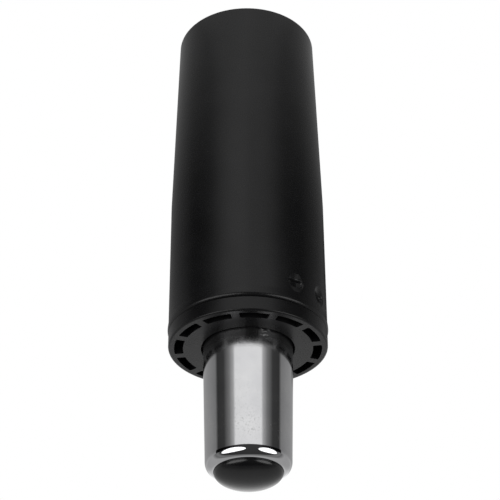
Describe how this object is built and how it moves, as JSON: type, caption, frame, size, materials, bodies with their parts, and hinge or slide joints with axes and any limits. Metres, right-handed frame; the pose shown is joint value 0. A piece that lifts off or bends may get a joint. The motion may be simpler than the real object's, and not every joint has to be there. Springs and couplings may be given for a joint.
{
  "type": "chair gas lift cylinder",
  "caption": "Compressed chair gas lift: tapered black column, slotted guide bush, chromed pressure tube with seat taper and a domed release button.",
  "frame": {"origin": "centre of the column's bottom rim, on the floor plane", "axes": "+Z along the lift's axis, from the column's base taper up to the release button; -Y is the pictured side"},
  "size_m": [0.0504, 0.0504, 0.1657],
  "materials": {
    "column_paint": "satin black powder coat",
    "bush_plastic": "satin black moulded plastic",
    "tube_chrome": "polished chrome plate",
    "button_plastic": "gloss black moulded plastic",
    "zinc_steel": "bright zinc plate",
    "ground_steel": "ground and hardened steel",
    "turned_aluminium": "turned aluminium",
    "pin_brass": "turned brass",
    "seal_rubber": "matte black rubber",
    "cage_plastic": "natural nylon"
  },
  "bodies": {
    "column": {"column_tube": "column_paint", "base_plate": "column_paint", "guide_bush": "bush_plastic", "bearing_lower_washer": "ground_steel"},
    "cage": {"ball_cage": "cage_plastic", "bearing_balls": "ground_steel"},
    "rod": {"piston_rod": "ground_steel", "bearing_upper_washer": "ground_steel", "rod_washer": "zinc_steel", "retaining_clip": "zinc_steel", "bump_stop": "seal_rubber", "piston": "turned_aluminium", "piston_seal": "seal_rubber", "piston_washer": "zinc_steel", "piston_nut": "zinc_steel"},
    "cylinder": {"pressure_tube": "tube_chrome", "rod_guide": "turned_aluminium", "guide_seal": "seal_rubber", "rod_seal": "seal_rubber", "seal_spacer": "cage_plastic", "inner_tube": "ground_steel", "valve_body": "turned_aluminium", "valve_seal_lower": "seal_rubber", "valve_seal_upper": "seal_rubber", "pin_seal": "seal_rubber", "pin_guide": "pin_brass", "valve_snap_ring": "zinc_steel"},
    "button": {"release_button": "button_plastic", "valve_pin": "ground_steel"}
  },
  "joints": [
    {"name": "swivel", "type": "hinge", "parent": "column", "child": "rod", "pos_m": [0, 0, 0.01283], "axis": [0, 0, 1], "continuous": true},
    {"name": "cage_spin", "type": "hinge", "parent": "column", "child": "cage", "pos_m": [0, 0, 0.01283], "axis": [0, 0, 1], "continuous": true},
    {"name": "lift", "type": "slide", "parent": "rod", "child": "cylinder", "axis": [0, 0, 1], "range_m": [0, 0.06]},
    {"name": "button_press", "type": "slide", "parent": "cylinder", "child": "button", "axis": [0, 0, -1], "range_m": [0, 0.003], "stiffness_N_per_m": 400, "springref_m": -0.001}
  ],
  "couplings": [
    {"joint": "cage_spin", "follows": "swivel", "ratio": 0.5}
  ]
}
